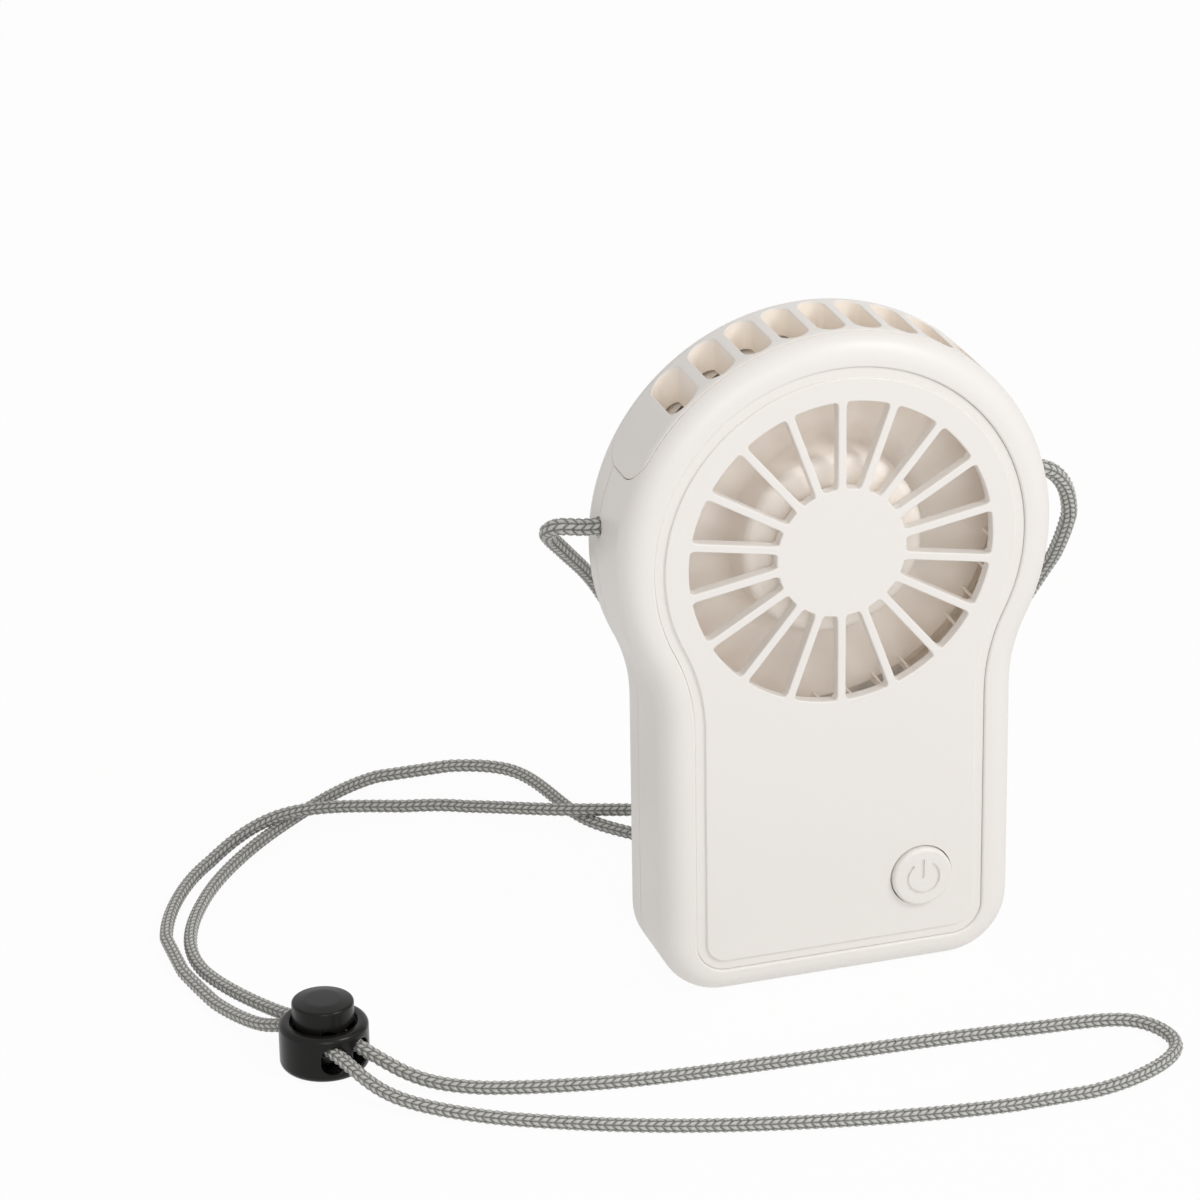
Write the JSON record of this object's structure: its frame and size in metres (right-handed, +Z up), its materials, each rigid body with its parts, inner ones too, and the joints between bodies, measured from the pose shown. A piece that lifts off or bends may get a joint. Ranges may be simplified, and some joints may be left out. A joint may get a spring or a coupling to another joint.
{
  "type": "lanyard blower fan",
  "caption": "White pocket neck fan with a round spoke grille, slotted vent band, push button, battery door, and a grey braided neck cord with a black spring cord lock.",
  "frame": {"origin": "centre of the underside of the box round the fan without its cord", "axes": "X to the fan's right as seen from the front, Y from the grille towards the battery door, Z up"},
  "size_m": [0.1777, 0.1774, 0.1316],
  "materials": {
    "white_plastic": "satin",
    "black_plastic": "satin",
    "bright_steel": "bright",
    "cream_plastic": "matte",
    "board_green": "satin",
    "cell_jacket": "gloss",
    "wire_red": "satin",
    "wire_black": "satin",
    "cord_grey": "braided"
  },
  "bodies": {
    "housing": {"front_shell": "white_plastic", "front_panel": "white_plastic", "rear_shell": "white_plastic", "vent_band": "white_plastic", "switch_body": "black_plastic", "circuit_board": "board_green", "driver_chip": "black_plastic", "motor_can": "bright_steel", "motor_end_cap": "cream_plastic", "battery_cell_1": "cell_jacket", "battery_cell_2": "cell_jacket", "battery_cell_3": "cell_jacket", "contact_positive": "bright_steel", "contact_bridge_right": "bright_steel", "contact_bridge_left": "bright_steel", "contact_negative": "bright_steel", "wire_motor_red": "wire_red", "wire_motor_black": "wire_black", "wire_battery_red": "wire_red", "wire_battery_black": "wire_black", "lanyard_cord": "cord_grey", "cord_knot_left": "cord_grey", "cord_knot_right": "cord_grey", "cord_lock_barrel": "black_plastic", "cord_lock_spring": "bright_steel"},
    "rotor": {"impeller": "white_plastic", "motor_shaft": "bright_steel"},
    "button": {"power_button": "white_plastic", "switch_stem": "black_plastic"},
    "door": {"battery_door": "white_plastic"},
    "lock_plunger": {"cord_lock_plunger": "black_plastic"}
  },
  "joints": [
    {"name": "impeller_spin", "type": "hinge", "parent": "housing", "child": "rotor", "pos_m": [0, 0, 0.0887], "axis": [0, 1, 0], "continuous": true},
    {"name": "power_button_press", "type": "slide", "parent": "housing", "child": "button", "axis": [0, 1, 0], "range_m": [0, 0.0005], "stiffness_N_per_m": 1500},
    {"name": "battery_door_swing", "type": "hinge", "parent": "housing", "child": "door", "pos_m": [0, 0.01035, 0.0047], "axis": [-1, 0, 0], "range_deg": [0, 35]},
    {"name": "cord_lock_press", "type": "slide", "parent": "housing", "child": "lock_plunger", "axis": [0, 0, -1], "range_m": [0, 0.0016], "stiffness_N_per_m": 1200}
  ]
}
